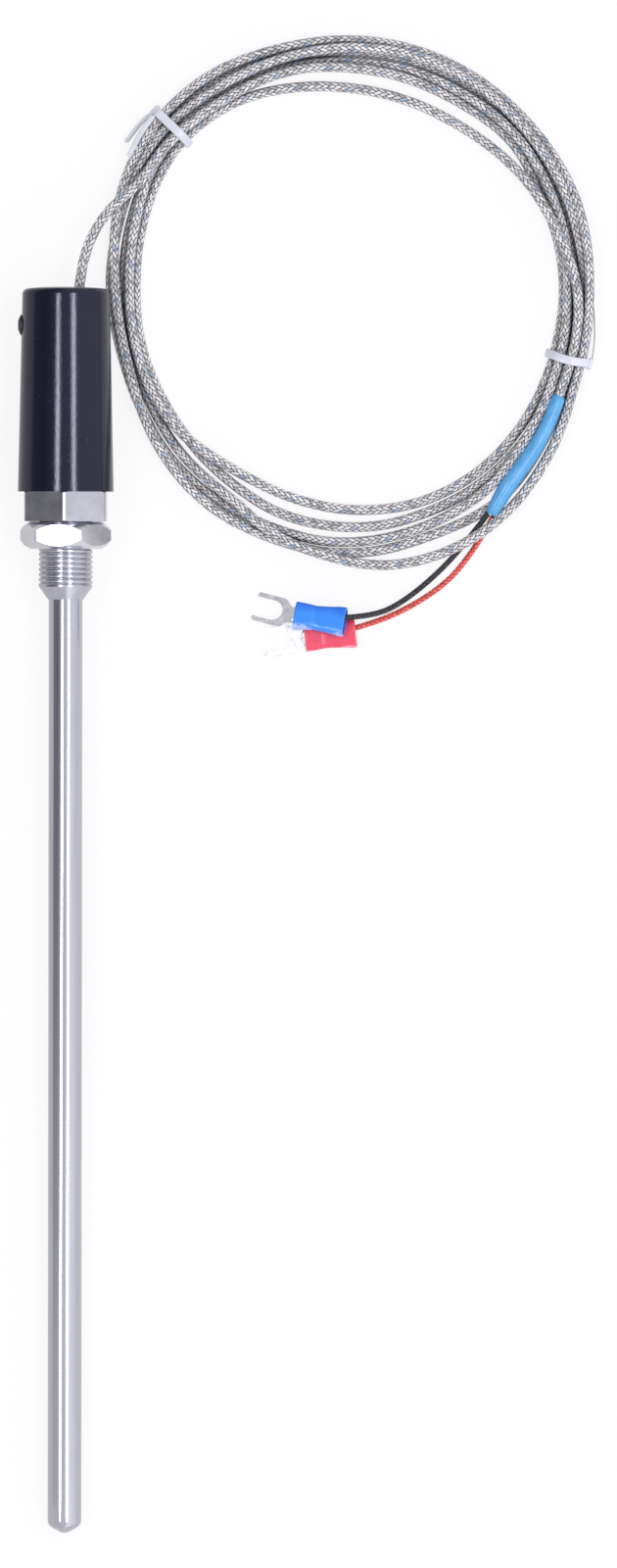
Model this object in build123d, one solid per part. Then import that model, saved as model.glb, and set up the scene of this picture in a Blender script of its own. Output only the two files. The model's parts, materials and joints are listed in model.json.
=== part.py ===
"""Thermocouple probe lying on a flat surface: stainless stem with a screwed fitting, lock nut and
black handle, and a braided cable that is hand-coiled beside it. Millimetres, +Z up, floor at z = 0.

The probe is drawn on its own axis first: +Y runs from the tip to the handle, and station 0 is the
hexagon's underside. It is then laid down, so that it rests on the handle's rim and the stem's tip.
"""

import os
from math import atan2, cos, degrees, pi, radians, sin, tan

from build123d import *

# Stem
stem_diameter = 10.0
stem_wall = 1.0
stem_length = 300.0
tip_cone_height = 2.3
tip_flat_radius = 0.9
tip_corner_radius = 1.0
tip_length = 6.0
spigot_length = 4.0

# Screwed fitting
hexagon_across_flats = 24.0
hexagon_height = 8.8
hexagon_turn = 29.2
hexagon_edge_radius = 1.2
hexagon_face_radius = 13.2
hexagon_chamfer_height = 0.35
thread_diameter = 16.0
thread_length = 19.3
thread_end_chamfer = 0.2
cone_height = 3.8
cone_nose_step = 0.25
sheath_socket_depth = 13.0
sheath_register_radius = 4.6
collar_diameter = 20.0
collar_length = 16.0
wire_passage_radius = 4.1
cement_pocket_radius = 7.0
cement_pocket_depth = 12.0
collar_chamfer = 0.6

# Lock nut
nut_across_flats = 24.0
nut_height = 8.0
nut_turn = -9.5
nut_edge_radius = 0.9
nut_face_radius = 10.6
nut_shoulder_radius = 12.1
nut_shoulder_height = 0.9
nut_crown_height = 2.8
nut_thread_clearance = 0.05
nut_seat_gap = 0.1

# Handle
handle_length = 60.4
handle_rim_diameter = 28.4
handle_top_diameter = 25.8
handle_corner_radius = 1.7
handle_dome_height = 0.6
handle_dome_radius = 8.6
handle_dome_rise = 0.5
neck_bore_radius = 5.0
neck_length = 22.0
neck_mouth_radius = 1.2
cavity_radius = 8.6
handle_wall_clearance = 0.05
cut_past = 1.0

# Clamp screw and its insert
screw_from_top = 11.2
screw_diameter = 3.0
screw_head_diameter = 6.0
screw_head_edge_height = 1.1
screw_head_height = 1.8
screw_head_bevel = 1.5
screw_slot_width = 0.8
screw_slot_depth = 0.9
screw_slot_turn = 65.0
screw_seat_depth = 0.8
screw_seat_radius = 3.2
screw_tip_gap = 0.05
insert_outer_radius = 2.4
insert_length = 6.2
insert_seat_cover = 1.0
screw_bore_end = -2.5
screw_running_clearance = 0.05
screw_free_hole_radius = 1.75

# Inside the stem
insulator_diameter = 7.4
insulator_length = 29.8
insulator_gap = 0.05
insulator_bore_radius = 0.8
wire_radius = 0.6
wire_offset = 1.45
junction_radius = 2.2
junction_height = 1.6
junction_bevel = 0.4
fit_clearance = 0.02

# Inside the handle
splice_radius = 1.3
splice_sleeve_radius = 1.75
splice_sleeve_cover = 1.5
splice_end_gap = 0.5
splice_between_gap = 0.4
splice_core_run = 2.3
strand_radius = 0.5
core_radius = 0.7
core_offset = 0.75
core_bend_start = 7.0
core_bend_end = 2.5

# Cable
cable_diameter = 3.0
cable_offset = 3.2
cable_start_depth = 16.2
cable_bend_height = 3.3
coil_height = 6.0
coil_edge_radius = 1.6
arc_share = 0.45
coil_centre = (84.0, 181.7)
# distance of the coil's outer and inner edges from its centre, every 15 degrees from +X
coil_outer_edge = (72.3, 73.3, 75.2, 75.8, 76.9, 77.8, 78.4, 78.4, 79.2, 79.2, 76.6, 74.0,
                   72.6, 71.1, 72.0, 74.3, 75.2, 75.8, 79.0, 81.6, 81.3, 78.1, 75.3, 72.3)
coil_inner_edge = (62.4, 63.0, 61.8, 60.7, 59.5, 60.4, 61.8, 63.9, 67.1, 67.3, 65.6, 63.3,
                   62.1, 61.8, 61.2, 61.0, 59.5, 60.1, 61.0, 62.1, 62.4, 62.4, 61.4, 61.2)

# Routes of the uncoiled stretches, from the coil's centre in x and y, and from the floor in z
cable_lead_route = ((-74.7, 23.5, 10.6), (-61.8, 34.8, 7.2))
cable_tail_route = ((61.9, -29.9, 4.9), (58.4, -38.7, 4.8), (53.4, -48.1, 4.5), (47.9, -56.1, 4.1),
                    (42.0, -63.75, 3.6))
lead_black_route = ((35.6, -70.7, 1.15), (27.9, -79.7, 0.95), (17.0, -89.1, 2.4), (7.5, -94.1, 4.9))
lead_red_route = ((40.3, -68.7, 1.15), (35.9, -75.6, 0.95), (29.8, -83.2, 0.95), (20.6, -91.2, 0.95),
                  (9.5, -95.3, 1.3))
lead_diameter = 1.7
lead_clearance = 0.04
lead_start_gap = 0.3
lead_entry_depth = 1.0
lead_entry_offset = -1.3
shrink_diameter = 4.06

# Ties: angle round the coil, inner and outer reach from the coil's centre, tail's turn
tie_upper_angle = 136.0
tie_upper_inner = 65.8
tie_upper_outer = 80.3
tie_right_angle = 345.2
tie_right_inner = 60.7
tie_right_outer = 74.6
tie_band_width = 2.7
tie_thickness = 0.6
tie_height = 7.2
tie_corner_radius = 2.4
tie_tail_width = 2.2
tie_tail_thickness = 0.4
tie_upper_tail_length = 12.0
tie_upper_tail_turn = 14.0
tie_right_tail_length = 16.5
tie_right_tail_turn = 14.0

# Fork terminals
sleeve_length = 15.2
sleeve_thickness = 4.2
sleeve_lead_width = 8.8
sleeve_waist_width = 7.4
sleeve_fork_width = 8.2
sleeve_waist_place = 1.3
sleeve_corner_radius = 1.8
barrel_width = 5.2
barrel_height = 2.6
barrel_wall = 0.75
barrel_length = 11.0
barrel_corner_radius = 1.2
barrel_clearance = 0.05
funnel_depth = 4.0
funnel_width = 7.4
funnel_height = 3.4
funnel_corner_radius = 1.4
fork_thickness = 0.8
fork_width = 8.8
fork_slot_width = 6.2
fork_tongue_width = 4.6
fork_neck_length = 1.0
fork_shoulder_length = 4.6
fork_flare_start = (1.0, 0.1)
fork_flare_end = (1.0, 0.05)
fork_slot_start = 4.1
fork_reach = 12.6
fork_tip_corner = 0.4
fork_black_bend = -7.0
fork_red_bend = 0.0
blue_terminal_place = (-8.7, -94.8, 5.95)
blue_terminal_turn = (15.0, 9.8, 172.0)
red_terminal_place = (-5.6, -99.7, 2.2)
red_terminal_turn = (0.0, 0.6, 186.0)

# Worked out from the sizes above
stem_radius = stem_diameter / 2
stem_bore_radius = stem_radius - stem_wall
thread_radius = thread_diameter / 2
rim_radius = handle_rim_diameter / 2
handle_base = hexagon_height
handle_top = handle_base + handle_length
cavity_top = handle_top - neck_length
collar_top = handle_base + collar_length
cement_floor = collar_top - cement_pocket_depth
thread_end = -thread_length
nose_station = thread_end - cone_height
socket_floor = nose_station + sheath_socket_depth
nut_top = -nut_seat_gap
tube_end = -stem_length + tip_length
junction_floor = tube_end + spigot_length
junction_top = junction_floor + junction_height
stack_start = junction_top + insulator_gap
insulator_count = int((cement_floor - stack_start) // (insulator_length + insulator_gap))
screw_station = handle_top - screw_from_top
cable_radius = cable_diameter / 2
cable_start = handle_top - cable_start_depth
splice_room = cable_start - core_bend_start - collar_top
splice_sleeve_length = (splice_room - splice_end_gap - splice_between_gap - splice_core_run) / 2
splice_length = splice_sleeve_length - 2 * splice_sleeve_cover
splice_first_height = splice_end_gap + splice_sleeve_cover
splice_step = splice_sleeve_length + splice_between_gap
tip_contact = stem_length - tip_cone_height - tip_corner_radius
rest_tilt = atan2(rim_radius - stem_radius, handle_base + tip_contact)
rest_height = rim_radius * cos(rest_tilt) - handle_base * sin(rest_tilt)
screw_side = -(handle_top_diameter / 2 + (handle_rim_diameter - handle_top_diameter) / 2
               * screw_from_top / handle_length)
screw_seat = screw_side + screw_seat_depth
middle_shift = (stem_length - handle_top) / 2 * cos(rest_tilt)


def turned(*profile):
    """Solid of revolution about the probe's axis, from (radius, station) points."""
    return revolve(make_face(Polyline(*profile, close=True)), Axis.Y)


def across(station):
    """Plane square to the probe's axis at a station, facing the handle."""
    return Plane(origin=(0, station, 0), x_dir=(1, 0, 0), z_dir=(0, 1, 0))


def rod(radius, x, start, end):
    """Straight round rod beside the probe's axis."""
    return extrude(across(start) * Pos(x, 0) * Circle(radius), amount=end - start)


def laid_down(shape):
    """Move a piece from the probe's own axis to where the probe rests on the floor."""
    rest = Location((0, middle_shift, rest_height), (degrees(rest_tilt), 0, 0))
    return rest * shape


def rest_point(x, station):
    """Floor-frame coordinates of a point level with the probe's axis."""
    return (x, station * cos(rest_tilt) + middle_shift, station * sin(rest_tilt) + rest_height)


def by_coil(point):
    """Floor-frame coordinates of a point given from the coil's centre."""
    return (point[0] + coil_centre[0], point[1] + coil_centre[1], point[2])


def tangent_radii(points):
    """Arc radius for each corner of a route, from a share of the shorter run beside it."""
    places = [Vector(*point) for point in points]
    radii = []
    for before, here, after in zip(places, places[1:], places[2:]):
        turn = (here - before).get_angle(after - here)
        shorter = min((here - before).length, (after - here).length)
        radii.append(arc_share * shorter / tan(radians(turn) / 2))
    return radii


def cord(name, radius, points):
    """Round tube along straight runs that are joined by tangent arcs."""
    radii = tangent_radii(points)
    path = FilletPolyline(*points, radius=radii)
    tube = sweep(Plane(path ^ 0) * Circle(radius), path=path)
    expected = pi * radius**2 * path.length
    print(name, "length", round(path.length, 2), "radii", [round(r, 1) for r in radii],
          "volume over section times length", round(tube.volume / expected, 4))
    return tube


# Stem and its contents
def sheath_tube():
    top = socket_floor - fit_clearance
    return turned((stem_bore_radius, tube_end), (stem_radius, tube_end), (stem_radius, nose_station),
                  (sheath_register_radius, nose_station), (sheath_register_radius, top),
                  (stem_bore_radius, top))


def tip_plug():
    cone_start = -stem_length + tip_cone_height
    plug = turned((0, -stem_length), (tip_flat_radius, -stem_length), (stem_radius, cone_start),
                  (stem_radius, tube_end), (stem_bore_radius - fit_clearance, tube_end),
                  (stem_bore_radius - fit_clearance, junction_floor), (0, junction_floor))
    corner = plug.edges().filter_by(lambda e: abs(e.center().Y - cone_start) < 0.01)
    return fillet(corner, tip_corner_radius)


def hot_junction():
    bead = rod(junction_radius, 0, junction_floor, junction_top)
    rims = bead.edges().filter_by(GeomType.CIRCLE).sort_by(Axis.Y)
    return chamfer(rims[0], junction_bevel)


def insulator(start):
    bead = rod(insulator_diameter / 2, 0, start, start + insulator_length)
    for side in (-1, 1):
        bead -= rod(insulator_bore_radius, side * wire_offset, start, start + insulator_length)
    return bead


def thermoelement_wire(side, splice_bottom):
    end = splice_bottom + splice_length / 2 - fit_clearance
    return rod(wire_radius, side * wire_offset, junction_top, end)


# Fitting and nut
def hexagon_bar(across_flats, turn, edge_radius, start, end):
    outline = RegularPolygon(across_flats / 2, 6, major_radius=False, rotation=turn)
    outline = fillet(outline.vertices(), edge_radius)
    return extrude(across(start) * outline, amount=end - start)


def corner_radius(across_flats):
    return across_flats / 2 / cos(radians(30))


def threaded_fitting():
    bar = hexagon_bar(hexagon_across_flats, hexagon_turn, hexagon_edge_radius, 0, hexagon_height)
    corner = corner_radius(hexagon_across_flats)
    bevel = turned((0, 0), (hexagon_face_radius, 0), (corner, hexagon_chamfer_height),
                   (corner, hexagon_height - hexagon_chamfer_height),
                   (hexagon_face_radius, hexagon_height), (0, hexagon_height))
    nose_radius = stem_radius + cone_nose_step
    shank = turned((0, nose_station), (nose_radius, nose_station),
                   (thread_radius - thread_end_chamfer, thread_end),
                   (thread_radius, thread_end + thread_end_chamfer), (thread_radius, 0), (0, 0))
    collar_radius = collar_diameter / 2 - handle_wall_clearance
    collar = turned((0, hexagon_height), (collar_radius, hexagon_height),
                    (collar_radius, collar_top - collar_chamfer),
                    (collar_radius - collar_chamfer, collar_top), (0, collar_top))
    socket_radius = sheath_register_radius + fit_clearance
    bores = turned((0, nose_station), (socket_radius, nose_station),
                   (socket_radius, socket_floor), (wire_passage_radius, socket_floor),
                   (wire_passage_radius, cement_floor), (cement_pocket_radius, cement_floor),
                   (cement_pocket_radius, collar_top), (0, collar_top))
    return (bar & bevel) + shank + collar - bores


def lock_nut():
    low = nut_top - nut_height
    bar = hexagon_bar(nut_across_flats, nut_turn, nut_edge_radius, low, nut_top)
    corner = corner_radius(nut_across_flats)
    crown = turned((0, low), (nut_face_radius, low), (nut_shoulder_radius, low + nut_shoulder_height),
                   (corner, low + nut_crown_height), (corner, nut_top - nut_crown_height),
                   (nut_shoulder_radius, nut_top - nut_shoulder_height), (nut_face_radius, nut_top),
                   (0, nut_top))
    return (bar & crown) - rod(thread_radius + nut_thread_clearance, 0, low, nut_top)


def cement_seal():
    plug = rod(cement_pocket_radius - fit_clearance, 0, cement_floor, collar_top)
    for side in (-1, 1):
        plug -= rod(wire_radius + fit_clearance, side * wire_offset, cement_floor, collar_top)
    return plug


# Handle and its clamp screw
def screw_axis_rod(radius, start, end):
    """Round rod along the clamp screw's axis, between two distances from the probe's axis."""
    plane = Plane(origin=(start, screw_station, 0), x_dir=(0, 0, 1), z_dir=(1, 0, 0))
    return extrude(plane * Circle(radius), amount=end - start)


def handle():
    top_radius = handle_top_diameter / 2
    shell = turned((0, handle_base), (rim_radius, handle_base), (top_radius, handle_top - handle_dome_height),
                   (handle_dome_radius, handle_top - handle_dome_height + handle_dome_rise), (0, handle_top))
    shoulder = shell.edges().filter_by(lambda e: abs(e.center().Y - handle_top + handle_dome_height) < 0.01)
    shell = fillet(shoulder, handle_corner_radius)
    shell -= turned((0, handle_base), (collar_diameter / 2, handle_base), (collar_diameter / 2, collar_top),
                    (cavity_radius, collar_top), (cavity_radius, cavity_top), (neck_bore_radius, cavity_top),
                    (neck_bore_radius, handle_top + cut_past), (0, handle_top + cut_past))
    mouth = shell.edges().filter_by(GeomType.CIRCLE).filter_by(
        lambda e: abs(e.radius - neck_bore_radius) < 0.01 and e.center().Y > screw_station)
    shell = fillet(mouth, neck_mouth_radius)
    shell -= screw_axis_rod(screw_seat_radius, screw_seat - screw_head_height, screw_seat)
    shell -= screw_axis_rod(screw_free_hole_radius, screw_seat, screw_bore_end)
    shell -= screw_axis_rod(insert_outer_radius, screw_seat + insert_seat_cover, screw_bore_end)
    return shell


def screw_insert():
    start = screw_seat + insert_seat_cover
    body = screw_axis_rod(insert_outer_radius - fit_clearance, start, start + insert_length)
    return body - screw_axis_rod(screw_diameter / 2 + screw_running_clearance, start, start + insert_length)


def clamp_screw():
    head_radius = screw_head_diameter / 2
    shank = screw_axis_rod(screw_diameter / 2, screw_seat, cable_offset - cable_radius - screw_tip_gap)
    head = screw_axis_rod(head_radius, screw_seat - screw_head_height, screw_seat)
    outer_rim = head.edges().filter_by(GeomType.CIRCLE).sort_by(Axis.X)[0]
    head = chamfer(outer_rim, length=screw_head_height - screw_head_edge_height, length2=screw_head_bevel)
    slot_place = Pos(screw_seat - screw_head_height + screw_slot_depth / 2, screw_station, 0)
    slot_place *= Rot(X=screw_slot_turn)
    slot = slot_place * Box(screw_slot_depth, screw_slot_width, screw_head_diameter + cut_past)
    return shank + (head - slot)


# Splices and cores inside the handle
def splice_ferrule(side, bottom):
    ferrule = rod(splice_radius, side * wire_offset, bottom, bottom + splice_length)
    ferrule -= rod(wire_radius + fit_clearance, side * wire_offset, bottom, bottom + splice_length / 2)
    return ferrule - rod(strand_radius + fit_clearance, side * wire_offset, bottom + splice_length / 2,
                         bottom + splice_length)


def splice_sleeve(side, bottom):
    start = bottom - splice_sleeve_cover
    sleeve = rod(splice_sleeve_radius, side * wire_offset, start, start + splice_sleeve_length)
    bore = rod(splice_radius + fit_clearance, side * wire_offset, start, start + splice_sleeve_length)
    return sleeve - bore


def cable_core(name, side, splice_bottom):
    """Insulated core from its splice to the cable's end, with its bare strands inside the splice."""
    x = side * wire_offset
    start = splice_bottom + splice_length
    end = cable_offset + side * core_offset
    points = ((x, start, 0), (x, cable_start - core_bend_start, 0), (end, cable_start - core_bend_end, 0),
              (end, cable_start, 0))
    tube = cord(name, core_radius, points)
    return tube + rod(strand_radius, x, splice_bottom + splice_length / 2 + fit_clearance, start)


# Cable, ties and leads
def coil_outline(edges):
    step = 360 / len(edges)
    points = [(edge * cos(radians(i * step)), edge * sin(radians(i * step))) for i, edge in enumerate(edges)]
    return make_face(Spline(*points, periodic=True))


def cable_coil():
    ring = extrude(coil_outline(coil_outer_edge) - coil_outline(coil_inner_edge), amount=coil_height)
    rims = ring.edges().filter_by(lambda e: e.is_closed)
    ring = fillet(rims, coil_edge_radius)
    return Pos(*coil_centre, 0) * ring


def cable_lead():
    inside = rest_point(cable_offset, cable_start)
    mouth = rest_point(cable_offset, handle_top + cable_bend_height)
    return cord("cable_lead", cable_radius, (inside, mouth, *map(by_coil, cable_lead_route)))


def cable_tail():
    return cord("cable_tail", cable_radius, tuple(map(by_coil, cable_tail_route)))


def shrink_sleeve():
    route = tuple(map(by_coil, cable_tail_route))
    full = cord("shrink_sleeve", shrink_diameter / 2, route)
    return full - cord("shrink_sleeve bore", cable_radius + fit_clearance, route)


def lead(name, side, route, terminal_place, terminal_turn):
    """One lead, from beside the cable's end face to just inside its terminal's sleeve."""
    end, before = Vector(*by_coil(cable_tail_route[-1])), Vector(*by_coil(cable_tail_route[-2]))
    along = (end - before).normalized()
    beside = along.cross(Vector(0, 0, 1)).normalized()
    start = end + beside * side * (lead_diameter + lead_clearance) / 2 + along * lead_start_gap
    inside = Pos(lead_entry_depth - sleeve_length / 2, lead_entry_offset, 0)
    mouth = terminal_frame(terminal_place, terminal_turn) * inside
    points = (tuple(start), *map(by_coil, route), tuple(mouth.position))
    return cord(name, lead_diameter / 2, points)


def tie(angle, inner, outer, tail_length, tail_turn):
    """Flat band round the bundle, standing across it, with its tail along the outside."""
    reach = outer - inner
    frame = Plane(origin=by_coil((0, 0, 0)), x_dir=(cos(radians(angle)), sin(radians(angle)), 0),
                  z_dir=(sin(radians(angle)), -cos(radians(angle)), 0))
    frame = frame.offset(-tie_band_width / 2)
    centre = Pos(inner + reach / 2, tie_height / 2)
    band = centre * RectangleRounded(reach, tie_height, tie_corner_radius)
    hollow = centre * RectangleRounded(reach - 2 * tie_thickness, tie_height - 2 * tie_thickness,
                                       tie_corner_radius - tie_thickness)
    loop = extrude(frame * (band - hollow), amount=tie_band_width)
    tail = Pos(tail_length / 2, 0, 0) * Box(tail_length, tie_tail_thickness, tie_tail_width)
    root = by_coil((0, 0, 0))
    place = Location((root[0] + (outer - tie_thickness / 2) * cos(radians(angle)),
                      root[1] + (outer - tie_thickness / 2) * sin(radians(angle)), tie_height / 2),
                     (0, 0, angle + 90 + tail_turn))
    return loop + place * tail


# Fork terminals, drawn with the sleeve's middle at the origin and the fork towards +X
def terminal_frame(place, turn):
    roll, pitch, yaw = turn
    return Pos(*by_coil(place)) * Rot(0, 0, yaw) * Rot(0, pitch, 0) * Rot(roll, 0, 0)


def section(x, width, height, corner):
    plane = Plane(origin=(x, 0, 0), x_dir=(0, 1, 0), z_dir=(1, 0, 0))
    return plane * RectangleRounded(width, height, corner)


def terminal_sleeve():
    half = sleeve_length / 2
    body = loft([section(-half, sleeve_lead_width, sleeve_thickness, sleeve_corner_radius),
                 section(sleeve_waist_place, sleeve_waist_width, sleeve_thickness, sleeve_corner_radius)])
    body += loft([section(sleeve_waist_place, sleeve_waist_width, sleeve_thickness, sleeve_corner_radius),
                  section(half, sleeve_fork_width, sleeve_thickness, sleeve_corner_radius)])
    gap = 2 * barrel_clearance
    body -= extrude(section(-half, barrel_width + gap, barrel_height + gap, barrel_corner_radius),
                    amount=sleeve_length)
    narrow = section(funnel_depth - half, barrel_width + gap, barrel_height + gap, barrel_corner_radius)
    funnel = loft([section(-half, funnel_width, funnel_height, funnel_corner_radius), narrow])
    return body - funnel


def fork_terminal(bend):
    half = sleeve_length / 2
    end = half + fork_neck_length / 2
    start, wall = end - barrel_length, 2 * barrel_wall
    outside = section(start, barrel_width, barrel_height, barrel_corner_radius)
    inside = section(start, barrel_width - wall, barrel_height - wall, barrel_corner_radius - barrel_wall)
    barrel = extrude(outside, amount=barrel_length) - extrude(inside, amount=barrel_length)
    neck, shoulder, tip = half + barrel_clearance, half + fork_shoulder_length, half + fork_reach
    tongue, wide, slot = fork_tongue_width / 2, fork_width / 2, fork_slot_width / 2
    side = Line((neck, tongue), (half + fork_neck_length, tongue))
    flare = Spline((half + fork_neck_length, tongue), (shoulder, wide),
                   tangents=(fork_flare_start, fork_flare_end))
    edge = Polyline((shoulder, wide), (tip - fork_tip_corner, wide), (tip, wide - fork_tip_corner), (tip, 0),
                    (neck, 0), (neck, tongue))
    upper = make_face([side, flare, *edge.edges()])
    blank = upper + mirror(upper, Plane.XZ)
    round_end = half + fork_slot_start + slot
    open_length = tip - round_end + slot
    cut = Pos(round_end, 0) * Circle(slot)
    cut += Pos(round_end + open_length / 2, 0) * Rectangle(open_length, fork_slot_width)
    plate = extrude(blank - cut, amount=fork_thickness)
    plate = Pos(end, 0, -barrel_height / 2) * Rot(Z=bend) * Pos(-end, 0, 0) * plate
    return barrel + plate


def build():
    splice_bottom = {"positive": collar_top + splice_first_height,
                     "negative": collar_top + splice_first_height + splice_step}
    sides = {"positive": -1, "negative": 1}
    probe = {
        "sheath_tube": sheath_tube(),
        "tip_plug": tip_plug(),
        "hot_junction": hot_junction(),
        "threaded_fitting": threaded_fitting(),
        "lock_nut": lock_nut(),
        "cement_seal": cement_seal(),
        "handle": handle(),
        "screw_insert": screw_insert(),
        "clamp_screw": clamp_screw(),
    }
    for number in range(insulator_count):
        start = stack_start + number * (insulator_length + insulator_gap)
        probe[f"insulator_{number + 1:02d}"] = insulator(start)
    for name, side in sides.items():
        bottom = splice_bottom[name]
        probe[f"wire_{name}"] = thermoelement_wire(side, bottom)
        probe[f"splice_{name}"] = splice_ferrule(side, bottom)
        probe[f"splice_sleeve_{name}"] = splice_sleeve(side, bottom)
        probe[f"core_{name}"] = cable_core(f"core_{name}", side, bottom)
    parts = {name: laid_down(shape) for name, shape in probe.items()}

    parts["cable_lead"] = cable_lead()
    parts["cable_coil"] = cable_coil()
    parts["cable_tail"] = cable_tail()
    parts["shrink_sleeve"] = shrink_sleeve()
    parts["tie_upper"] = tie(tie_upper_angle, tie_upper_inner, tie_upper_outer, tie_upper_tail_length,
                             tie_upper_tail_turn)
    parts["tie_right"] = tie(tie_right_angle, tie_right_inner, tie_right_outer, tie_right_tail_length,
                             tie_right_tail_turn)
    blue, red = (blue_terminal_place, blue_terminal_turn), (red_terminal_place, red_terminal_turn)
    parts["lead_black"] = lead("lead_black", 1, lead_black_route, *blue)
    parts["lead_red"] = lead("lead_red", -1, lead_red_route, *red)
    parts["terminal_sleeve_blue"] = terminal_frame(*blue) * terminal_sleeve()
    parts["terminal_sleeve_red"] = terminal_frame(*red) * terminal_sleeve()
    parts["fork_terminal_black"] = terminal_frame(*blue) * fork_terminal(fork_black_bend)
    parts["fork_terminal_red"] = terminal_frame(*red) * fork_terminal(fork_red_bend)
    return parts


def main():
    os.makedirs("parts", exist_ok=True)
    print("tilt at rest", round(degrees(rest_tilt), 3), "degrees, station 0 at y", round(middle_shift, 3),
          "and z", round(rest_height, 3))
    for name, shape in build().items():
        export_step(shape, f"parts/{name}.step")


main()
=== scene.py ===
"""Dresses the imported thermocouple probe: braided cable, leads, ties, thread, materials, light and camera."""

import json
from math import copysign, cos, pi, radians, sin, sqrt

import bmesh
import bpy
import numpy as np
from mathutils import Matrix, Vector


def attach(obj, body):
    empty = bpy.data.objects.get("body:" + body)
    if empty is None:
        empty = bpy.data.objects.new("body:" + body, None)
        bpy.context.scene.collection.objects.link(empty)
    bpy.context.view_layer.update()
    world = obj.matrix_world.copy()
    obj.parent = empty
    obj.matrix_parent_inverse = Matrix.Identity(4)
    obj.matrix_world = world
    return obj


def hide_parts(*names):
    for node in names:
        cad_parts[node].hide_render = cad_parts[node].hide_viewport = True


MM = 0.001

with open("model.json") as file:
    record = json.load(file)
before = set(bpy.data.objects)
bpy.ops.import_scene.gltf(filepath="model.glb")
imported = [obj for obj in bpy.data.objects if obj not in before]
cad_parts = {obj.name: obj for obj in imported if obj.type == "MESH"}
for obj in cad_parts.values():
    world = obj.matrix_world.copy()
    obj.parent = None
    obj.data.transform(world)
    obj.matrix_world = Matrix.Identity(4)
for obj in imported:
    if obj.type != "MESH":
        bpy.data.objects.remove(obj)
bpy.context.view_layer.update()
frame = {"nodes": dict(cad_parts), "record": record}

# Places, in millimetres. The probe's own axis is tilted as it lies. A station is the distance along it from
# the hexagon's underside, and the stem's stations are negative
TILT = radians(1.725)
AXIS_Y = 115.348
AXIS_Z = 13.929
COIL_CENTRE = Vector((84.0, 181.7, 0.0))
UP = Vector((0, 0, 1))


def on_axis(x, station, z=0.0):
    """Row-frame point, in millimetres, of a point given by the probe's own axis."""
    y = station * cos(TILT) - z * sin(TILT) + AXIS_Y
    height = station * sin(TILT) + z * cos(TILT) + AXIS_Z
    return Vector((x, y, height))


def axis_ring(station, radius, count):
    """Circle of points round the probe's own axis."""
    return [on_axis(radius * cos(2 * pi * j / count), station, radius * sin(2 * pi * j / count))
            for j in range(count)]


def by_coil(x, y, z):
    """Point, in millimetres, given from the coil's centre on the floor."""
    return COIL_CENTRE + Vector((x, y, z))


def signed_power(value, power):
    """Power of a number's size, with its sign kept: it makes a circle's cosine and sine squarer."""
    return copysign(abs(value) ** power, value)


def lengths_along(line):
    """Length from a line's start to each of its points."""
    return np.concatenate([[0.0], np.cumsum(np.linalg.norm(np.diff(line, axis=0), axis=1))])


# Materials

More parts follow.
